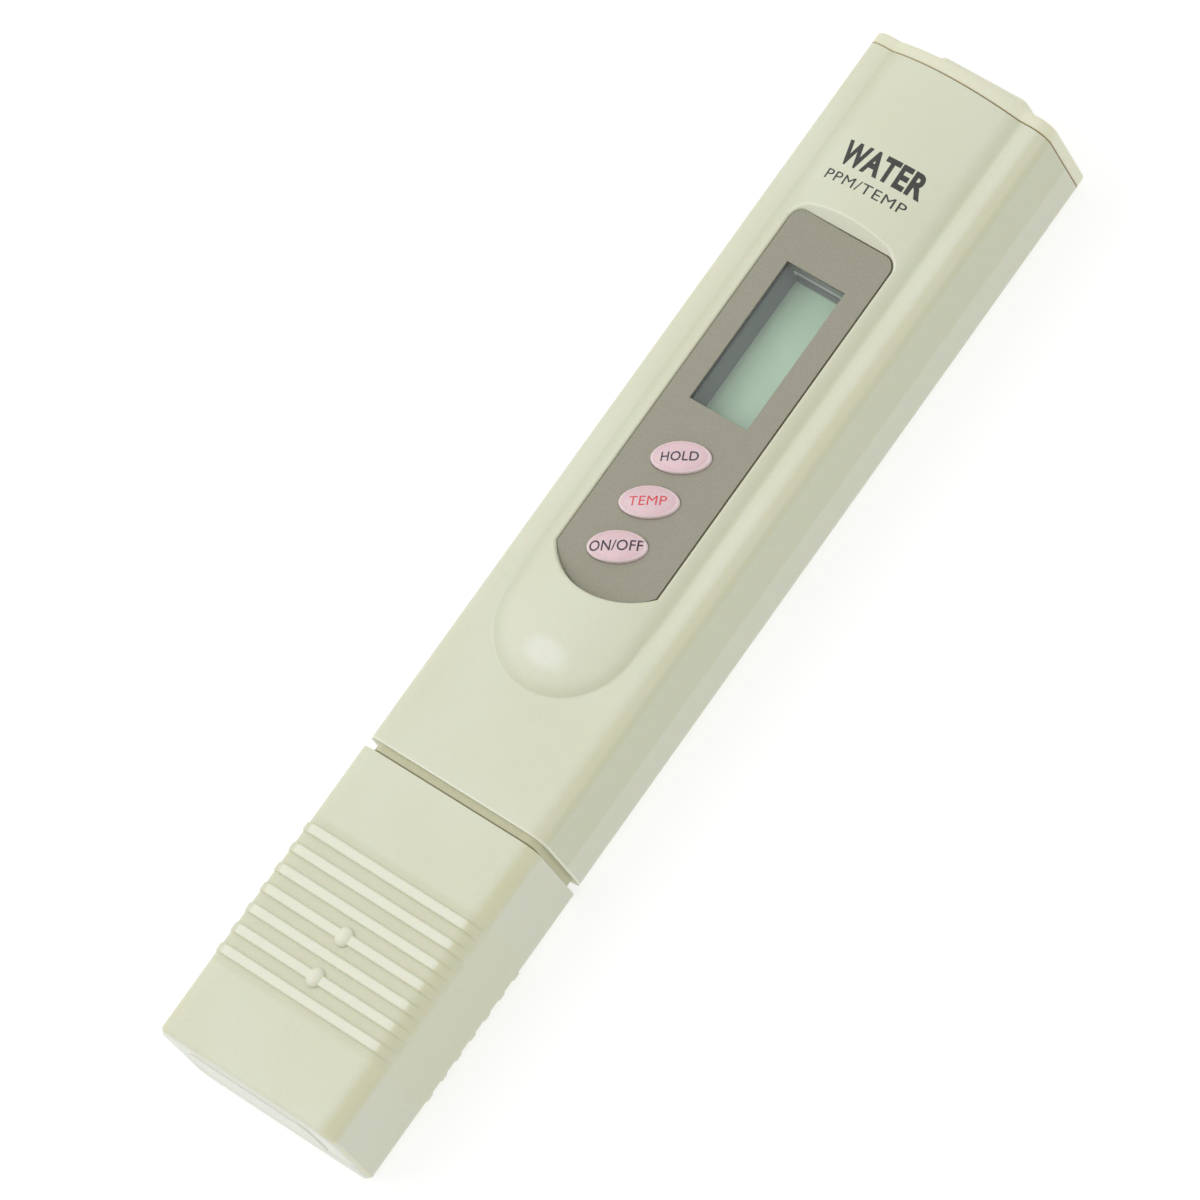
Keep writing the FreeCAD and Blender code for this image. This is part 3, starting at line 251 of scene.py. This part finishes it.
front = Cream("front_cream", CREAM_SHADE)
front.corners(0.1, 0.3)
_, ahead, upward = front.split(front.facing)
# painted light on faces that look back towards the probe end, near the crescent
crescent_light = front.math("MULTIPLY", front.span(ahead, -0.16, -0.04, 1.0, 0.0),
                      front.beyond(front.along, SEAM + 75, 4))
front.tint(crescent_light, CREAM_PAINTED_LIGHT, 0.5)
# painted shade where the nose's dome falls to the face
nose_foot_shade = front.math("MULTIPLY", front.beyond(front.height, FACE_Z + 0.06, 0.08),
                  front.beyond(front.height, FACE_Z + 0.5, 1.0, True))
nose_foot_shade = front.math("MULTIPLY", nose_foot_shade, front.beyond(front.along, SEAM + 28, 8, True))
nose_foot_shade = front.math("MULTIPLY", nose_foot_shade, front.span(front.across, -8 * MM, 8 * MM, 0.3, 0.55))
front.tint(nose_foot_shade, CREAM_VALLEY_SHADE)
from_side = front.math("MULTIPLY_ADD", front.across,
                       1 / (SHINE_HALF[0] * MM), -SHINE[0] / SHINE_HALF[0])
from_end = front.math("MULTIPLY_ADD", front.along,
                      1 / (SHINE_HALF[1] * MM), -SHINE[1] / SHINE_HALF[1])
from_shine = front.math("ADD", front.math("MULTIPLY", from_side, from_side),
                        front.math("MULTIPLY", from_end, from_end))
shine = front.math("MULTIPLY", front.span(from_shine, 0.0, 1.0, 0.5, 0.0),
                   front.span(upward, 0.5, 0.7))
front.tint(shine, SHINE_WHITE)
on_face = front.math("MULTIPLY", front.span(upward, 0.85, 0.93),
                     front.beyond(front.along, CROWN_START, CROWN_FADE))
# painted shade in the crown's valleys and painted light on its shoulders, stronger on the right
for side, dark, light in ((1, 0.5, 0.22), (-1, 0.25, 0.12)):
    out = front.math("MULTIPLY", front.across, side)
    valley_shade = front.math("MULTIPLY", front.beyond(out, CROWN_FOOT - 1.3, 2.2),
                        front.beyond(out, CROWN_FOOT + 0.25, 0.6, True))
    front.tint(front.math("MULTIPLY", valley_shade, on_face), CREAM_VALLEY_SHADE, dark)
    shoulder_light = front.within(out, CROWN_FOOT + 1.0, CROWN_FOOT + 2.7, 1.3)
    front.tint(front.math("MULTIPLY", shoulder_light, on_face), CREAM_PAINTED_LIGHT, light)
# painted shadow in the gap around the overlay, darker towards the right
panel_gap_shadow = front.math("MULTIPLY", front.within(front.along, *PANEL, 0.2),
                       front.within(front.across, -PANEL_HALF, PANEL_HALF, 0.1))
panel_gap_shadow = front.math("MULTIPLY", panel_gap_shadow,
                       front.within(front.height, FACE_Z + 0.15, FACE_Z + 0.42, 0.04))
panel_gap_shadow = front.math("MULTIPLY", panel_gap_shadow,
                       front.span(front.across, -8 * MM, 2 * MM, 0.1, 0.9))
front.tint(panel_gap_shadow, PANEL_GAP_SHADOW_OLIVE)

rear = Cream("rear_cream", CREAM_SIDE_SHADE)
for shell in (front, rear):
    shell.tint(shell.within(shell.height, PARTING_Z - 0.1, PARTING_Z + 0.1, 0.1), PARTING_AND_GROOVE_SHADE_GREEN, 0.6)
    # painted highlight on the case's rounded edge at the seam
    shell.tint(shell.within(shell.along, SEAM, SEAM + 0.25, 0.12), CREAM_PAINTED_LIGHT, 0.7)
    # painted shade on the neck, with a painted shadow line beside the cap's rim
    shell.tint(shell.within(shell.along, NECK_FOOT, SEAM - 0.05, 0.1), NECK_SHADE_TAN)
    shell.tint(shell.within(shell.along, NECK_FOOT, SEAM - 0.93, 0.1), NECK_SHADOW_OLIVE, 0.85)
    edge = shell.beyond(shell.along, CASE_END - 0.09, 0.08)
    shell.tint(shell.math("MULTIPLY", edge, shell.span(shell.across, -12 * MM, 9 * MM, 0.45, 1.0)),
               SEAM_BROWN, 0.8)
front.finish("front_case")
rear.finish("rear_case")

cap = Cream("cap_cream", CREAM_SIDE_SHADE)
cap.corners(0.2, 0.55)
# painted shade between the ribs, and painted light on the rib tops below
on_ribs = cap.within(cap.along, *RIBS, 0.8)
groove_shade = cap.math("MULTIPLY", on_ribs, cap.beyond(cap.height, CAP_Z + 0.1, 0.1, True))
cap.tint(groove_shade, PARTING_AND_GROOVE_SHADE_GREEN, 0.55)
cap.tint(cap.beyond(cap.height, CAP_Z + 0.28, 0.2), CREAM_PAINTED_LIGHT, 0.75)
# painted light on the closed end, with a band of painted shade low on it
closed_end = cap.beyond(cap.along, CAP_END, 0.25, True)
end_low = cap.within(cap.height, *CAP_END_SHADE_BAND, 2.0)
cap.tint(closed_end, CAP_END_PAINTED_LIGHT, 0.85)
cap.tint(cap.math("MULTIPLY", closed_end, end_low), CAP_END_SHADE_GREY, 0.4)
cap.finish("probe_cap")

end_cap = Cream("end_cream", CREAM_SIDE_SHADE)
end_cap.corners(0.3, 0.4)
end_cap.tint(end_cap.within(end_cap.along, CASE_END - 0.3, CASE_END + 0.12, 0.1),
             DRAWER_ORANGE, 0.9)
end_cap.tint(end_cap.beyond(end_cap.along, CASE_END + 0.25, 0.3), DRAWER_PALE, 0.6)
# painted light on the door's face
end_cap.tint(end_cap.beyond(end_cap.along, DOOR_FACE + 0.1, 0.3), CREAM_PAINTED_LIGHT, 0.8)
end_cap.finish("battery_cap")

film = Surface("overlay_film", IOR=1.45)
film_grain = film.noise(0.22, 4.0, 0.7)
film.colour(film.mix(film.span(film_grain, 0.3, 0.7),
                     linear(148, 145, 128), linear(161, 158, 142)))
film.rough(film.span(film.noise(0.8), 0.3, 0.7, 0.48, 0.6))
film.bump(film_grain, 0.006)
dress(film, "face_overlay")


def plain(name, dark, light, roughness, size=1.5, relief=0.004, **settings):
    """A material whose colour drifts between two close ones, with a fine relief."""
    surface = Surface(name, **settings)
    drift = surface.noise(size, 3.0)
    surface.colour(surface.mix(surface.span(drift, 0.3, 0.7), linear(*dark), linear(*light)))
    surface.rough(surface.span(surface.noise(size * 0.7), 0.3, 0.7,
                               roughness * 0.85, roughness * 1.15))
    surface.bump(drift, relief)
    return surface


pink = Surface("key_pink", IOR=1.5, Coat_Weight=0.35, Coat_Roughness=0.16,
               Subsurface_Weight=0.2, Subsurface_Scale=0.001)
key_across, key_along, _ = pink.split(pink.place)
key_right = pink.math("SUBTRACT", key_across, KEY_ACROSS * MM)
key_ahead = pink.math("SUBTRACT",
                      pink.math("WRAP", key_along, (KEY_FIRST + KEY_PITCH / 2) * MM,
                                (KEY_FIRST - KEY_PITCH / 2) * MM), KEY_FIRST * MM)
cosine, sine = math.cos(math.radians(KEY_TURN)), math.sin(math.radians(KEY_TURN))
squares = []
for toward_x, toward_y, half in ((cosine, sine, KEY_HALF[0]), (-sine, cosine, KEY_HALF[1])):
    share = pink.math("MULTIPLY_ADD", key_right, toward_x / (half * MM),
                      pink.math("MULTIPLY", key_ahead, toward_y / (half * MM)))
    squares.append(pink.math("MULTIPLY", share, share))
outward = pink.math("ADD", *squares)
key_body = pink.mix(pink.span(pink.noise(4), 0.3, 0.7), linear(*KEY_DARK), linear(*KEY_LIGHT))
# painted shade in a ring towards each key's edge, then a painted highlight ring on the rim
key_body = pink.mix(pink.span(outward, 0.45, 0.74, 0.0, 0.25), key_body, linear(*KEY_SHADE_RING))
pink.colour(pink.mix(pink.span(outward, 0.74, 0.9, 0.0, 0.7), key_body, linear(*KEY_HIGHLIGHT_RING)))
pink.rough(pink.span(pink.noise(0.9), 0.3, 0.7, 0.26, 0.34))
pink.bump(pink.noise(0.7), 0.002)
dress(pink, "power_key", "temp_key", "hold_key")

screen = Surface("display_green", IOR=1.5)
screen_grain = screen.noise(0.3, 3.0)
screen_tone = screen.mix(screen.span(screen.noise(6), 0.3, 0.7),
                         linear(189, 222, 190), linear(195, 227, 197))
screen_tone = screen.mix(screen.span(screen_grain, 0.35, 0.65, 0.0, 0.04),
                         screen_tone, (0.1, 0.15, 0.12, 1))
screen_across, screen_along, _ = screen.split(screen.place)
# painted shadow on the screen's left, and a darker band along its battery-end edge
shade = screen.span(screen_across, -4.9 * MM, -3.2 * MM, 0.45, 0.0)
far_edge_band = screen.span(screen_along, (WINDOW_END - 0.75) * MM, (WINDOW_END - 0.4) * MM)
screen.colour(screen.mix(screen.math("MAXIMUM", shade, far_edge_band), screen_tone, linear(116, 122, 118)))
screen.rough(screen.span(screen.noise(0.5), 0.3, 0.7, 0.3, 0.4))
screen.bump(screen_grain, 0.002)
dress(screen, "front_polariser")

for name, alpha, nodes_used in (("clear_window", 0.07, ("display_lens",)),
                                ("clear_glass", 0.25, ("front_glass", "rear_glass"))):
    pane = Surface(name, IOR=1.49, Alpha=alpha)
    smear = pane.noise(3, 3.0)
    pane.colour(pane.mix(smear, linear(224, 232, 230), linear(240, 244, 242)))
    pane.rough(pane.span(smear, 0.3, 0.7, 0.03, 0.08))
    pane.bump(smear, 0.001)
    dress(pane, *nodes_used)

slate = Surface("frame_slate", IOR=1.5)
_, slate_along, slate_height = slate.split(slate.place)
slate_tone = slate.mix(slate.noise(6), linear(106, 111, 112), linear(112, 117, 118))
# painted light on the far wall of the window, with a painted glint across it
far_wall = slate.span(slate_along, (WINDOW_END - 0.2) * MM, (WINDOW_END - 0.1) * MM)
slate_tone = slate.mix(far_wall, slate_tone, linear(128, 131, 124))
glint_low, glint_high = ([height * MM for height in edge] for edge in FRAME_GLINT)
line = slate.math("MULTIPLY", slate.span(slate_height, *glint_low),
                  slate.span(slate_height, *glint_high, 1.0, 0.0))
slate.colour(slate.mix(slate.math("MULTIPLY", line, far_wall), slate_tone, linear(226, 229, 225)))
slate.rough(slate.span(slate.noise(2), 0.3, 0.7, 0.32, 0.4))
slate.bump(slate.noise(1.5), 0.002)
dress(slate, "display_frame")
dress(plain("dark_plastic", (34, 35, 38), (46, 47, 50), 0.45),
      "power_plunger", "temp_plunger", "hold_plunger", "switch_bases")
dress(plain("probe_plastic", (26, 26, 28), (36, 36, 39), 0.42, 0.5, 0.008), "probe_holder")
dress(plain("strip_rubber", (196, 120, 122), (210, 136, 136), 0.7, 0.4), "zebra_strips")
dress(plain("display_silver", (190, 196, 190), (206, 210, 204), 0.35, 2.0, Metallic=0.7),
      "display_reflector")
dress(plain("epoxy_black", (20, 20, 22), (34, 34, 36), 0.2, 2.0, 0.05, Coat_Weight=0.3),
      "controller_blob", "chip_resistors", "probe_potting")
dress(plain("trimmer_blue", (30, 62, 142), (44, 78, 158), 0.35), "trimmer_body")
dress(plain("chip_tan", (156, 126, 92), (172, 142, 108), 0.6, 0.6), "chip_capacitors")
dress(plain("gasket_nylon", (52, 52, 56), (66, 66, 70), 0.5), "cell_gaskets")
dress(plain("lead_rubber", (140, 26, 26), (158, 40, 38), 0.55, 1.2, 0.01), "probe_leads")


def metal(name, dark, light, roughness, stretch):
    """Metal with fine drawn lines along one axis."""
    surface = Surface(name, Metallic=1.0)
    lines = surface.noise(0.5, 4.0, 0.6, stretch)
    surface.colour(surface.mix(surface.span(lines, 0.3, 0.7), linear(*dark), linear(*light)))
    surface.rough(surface.span(lines, 0.3, 0.7, roughness * 0.7, roughness * 1.3))
    surface.bump(lines, 0.003)
    return surface


dress(metal("spring_steel", (176, 177, 178), (206, 206, 204), 0.3, (1, 8, 1)),
      "power_dome", "temp_dome", "hold_dome", "switch_covers", "board_screws")
dress(metal("cell_steel", (186, 187, 186), (216, 216, 214), 0.24, (1, 1, 12)),
      "cell_cans", "cell_lids", "cell_bridge", "crystal_can")
dress(metal("pin_steel", (178, 177, 174), (206, 204, 200), 0.26, (12, 1, 12)),
      "electrode_pins", "thermistor_tube")
dress(metal("contact_brass", (188, 158, 92), (212, 184, 118), 0.3, (10, 1, 1)),
      "positive_contact", "negative_contact", "trimmer_rotor")

board = Surface("green_board", IOR=1.5, Coat_Weight=0.2, Coat_Roughness=0.2)
tracks = board.node("ShaderNodeTexBrick", board.place)
for socket, value in (("Scale", 260.0), ("Mortar Size", 0.08), ("Mortar Smooth", 0.2),
                      ("Brick Width", 0.9), ("Row Height", 0.3)):
    tracks.inputs[socket].default_value = value
board.colour(board.mix(tracks.outputs["Fac"], linear(28, 92, 48), linear(50, 122, 66)))
board.rough(board.span(board.noise(1.0), 0.3, 0.7, 0.35, 0.5))
board.bump(tracks.outputs["Fac"], 0.02)
dress(board, "main_board")

ink_grey = plain("ink_grey", (52, 53, 50), (64, 65, 61), 0.5, 0.3, 0.002)
ink_key = plain("ink_key", (54, 42, 52), (64, 52, 62), 0.45, 0.3, 0.002)
ink_red = plain("ink_red", (214, 66, 72), (224, 80, 84), 0.45, 0.3, 0.002)


# ---------------------------------------------------------------- printed words
PRINT_THICK = 0.012 * MM
CUT_STEP = 0.35          # millimetres between the cuts that let letters follow a curved surface
CUT_MARGIN = 0.5


def printed(name, words, centre, width, height, turn, onto, ink, body,
            slant=0.0, weight=0.0, spacing=1.0):
    """Words as thin solid letters laid on a CAD node's upper surface.

    Centre is the middle of the line, and width and height are its size, all in millimetres.
    Turn is the angle of the line from +X, in degrees. No letter rises above the CAD box.
    """
    curve = bpy.data.curves.new(name, "FONT")
    curve.body = words
    curve.size = 1.0
    curve.shear = slant
    curve.offset = weight
    curve.space_character = spacing
    curve.resolution_u = 5
    curve.extrude = 0.5
    holder = bpy.data.objects.new(name, curve)
    bpy.context.scene.collection.objects.link(holder)
    bpy.context.view_layer.update()
    mesh = bpy.data.meshes.new_from_object(
        holder.evaluated_get(bpy.context.evaluated_depsgraph_get()))
    bpy.data.objects.remove(holder)
    corners = [vertex.co for vertex in mesh.vertices]
    low = Vector(min(co[axis] for co in corners) for axis in range(3))
    high = Vector(max(co[axis] for co in corners) for axis in range(3))
    middle = (low + high) / 2
    size = high - low
    mesh.transform(
        Matrix.Translation(Vector((*centre, 0)) * MM)
        @ Matrix.Rotation(math.radians(turn), 4, "Z")
        @ Matrix.Diagonal((width * MM / size.x, height * MM / size.y, 1, 1))
        @ Matrix.Translation((-middle.x, -middle.y, 0)))
    shape = bmesh.new()
    shape.from_mesh(mesh)
    bmesh.ops.remove_doubles(shape, verts=shape.verts, dist=1e-7)
    reach = width / 2 + CUT_MARGIN
    for axis in (0, 1):
        for index in range(int(2 * reach / CUT_STEP)):
            point = Vector((*centre, 0)) * MM
            point[axis] += (index * CUT_STEP - reach) * MM
            normal = Vector((axis == 0, axis == 1, 0))
            bmesh.ops.bisect_plane(
                shape, geom=shape.verts[:] + shape.edges[:] + shape.faces[:],
                dist=1e-8, plane_co=point, plane_no=normal)
    floor_tree = BVHTree.FromObject(nodes[onto], bpy.context.evaluated_depsgraph_get())
    for vertex in shape.verts:
        above = Vector((vertex.co.x, vertex.co.y, cad_high.z + MM))
        hit = floor_tree.ray_cast(above, Vector((0, 0, -1)))[0]
        surface = hit.z + (PRINT_THICK if vertex.co.z > 0 else -PRINT_THICK)
        vertex.co.z = min(surface, cad_high.z)
    shape.to_mesh(mesh)
    shape.free()
    mesh.materials.clear()
    mesh.materials.append(ink.material)
    piece = bpy.data.objects.new(name, mesh)
    bpy.context.scene.collection.objects.link(piece)
    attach(piece, body)
    return piece


printed("print_water", "WATER", (-0.4, SEAM + 92.6), 12.7, 3.4, WORDS_TURN,
        "front_case", ink_grey, "case", weight=0.04, spacing=1.08)
printed("print_units", "PPM/TEMP", (-0.8, SEAM + 89.15), 12.3, 1.4, WORDS_TURN,
        "front_case", ink_grey, "case", spacing=1.1)
for key, words, width, height, ink, weight in (
        ("hold", "HOLD", 4.9, 1.25, ink_key, 0.008),
        ("temp", "TEMP", 4.9, 1.22, ink_red, 0.0),
        ("power", "ON/OFF", 6.95, 1.4, ink_key, 0.008)):
    low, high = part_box(f"{key}_key")
    middle = (low + high) / 2 / MM
    printed(f"label_{key}", words, (middle.x, middle.y), width, height, LABEL_TURN,
            f"{key}_key", ink, f"{key}_key", slant=0.05, weight=weight, spacing=1.05)


# ---------------------------------------------------------------- floor, light, camera
def ground(half):
    """A plain sheet under the object."""
    mesh = bpy.data.meshes.new("ground")
    mesh.from_pydata([(-half, -half, 0), (half, -half, 0), (half, half, 0), (-half, half, 0)],
                     [], [(0, 1, 2, 3)])
    piece = bpy.data.objects.new("ground", mesh)
    bpy.context.scene.collection.objects.link(piece)
    piece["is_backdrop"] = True
    return piece


paper = Surface("ground_white", Specular_IOR_Level=0.1, Emission_Color=(1, 1, 1, 1),
                Emission_Strength=0.65)
paper.colour(paper.mix(paper.noise(200), (0.42, 0.42, 0.42, 1), (0.44, 0.44, 0.44, 1)))
paper.rough(paper.span(paper.noise(80), 0.0, 1.0, 0.85, 0.95))
ground(4.0).data.materials.append(paper.material)


def lamp(name, direction, distance, size, power):
    """A square soft light that faces the object from a direction."""
    light = bpy.data.lights.new(name, "AREA")
    light.size = size
    light.energy = power
    piece = bpy.data.objects.new(name, light)
    way = Vector(direction).normalized()
    piece.location = way * distance
    piece.rotation_mode = "QUATERNION"
    piece.rotation_quaternion = way.to_track_quat("Z", "Y")
    bpy.context.scene.collection.objects.link(piece)


lamp("key_light", (-0.54, -0.26, 0.80), 0.9, 0.8, 2.3)
lamp("top_light", (0.1, 0.5, 1.0), 1.2, 0.9, 1.2)

world = bpy.data.worlds.new("studio")
world.use_nodes = True
background = world.node_tree.nodes["Background"]
background.inputs["Color"].default_value = (1.0, 1.0, 1.0, 1)
background.inputs["Strength"].default_value = 0.73
bpy.context.scene.world = world
bpy.context.scene.view_settings.view_transform = "Standard"

VIEW_AZIMUTH = 72.256               # degrees, like the next two
VIEW_ELEVATION = 60.517
VIEW_ROLL = 38.793
VIEW_DISTANCE = 1004.3 * MM
VIEW_TARGET = Vector((0, -1.1, 17.2)) * MM
VIEW_SHIFT = (0.687, 3.12)          # millimetres that the camera is moved left and down
FOCAL_LENGTH = 248.07
around = math.radians(VIEW_AZIMUTH)
above = math.radians(VIEW_ELEVATION)
back = Vector((math.sin(around) * math.cos(above),
               -math.cos(around) * math.cos(above),
               math.sin(above)))
level = Vector((math.cos(around), math.sin(around), 0))
upright = back.cross(level)
roll = math.radians(VIEW_ROLL)
right = level * math.cos(roll) - upright * math.sin(roll)
up = level * math.sin(roll) + upright * math.cos(roll)
lens = bpy.data.cameras.new("camera")
lens.lens = FOCAL_LENGTH
lens.sensor_width = 36.0
lens.clip_start = 0.05
lens.clip_end = 20.0
camera = bpy.data.objects.new("camera", lens)
camera.rotation_mode = "QUATERNION"
camera.rotation_quaternion = Matrix((right, up, back)).transposed().to_quaternion()
camera.location = (VIEW_TARGET + back * VIEW_DISTANCE
                   - right * VIEW_SHIFT[0] * MM - up * VIEW_SHIFT[1] * MM)
bpy.context.scene.collection.objects.link(camera)
bpy.context.scene.camera = camera

low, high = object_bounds()
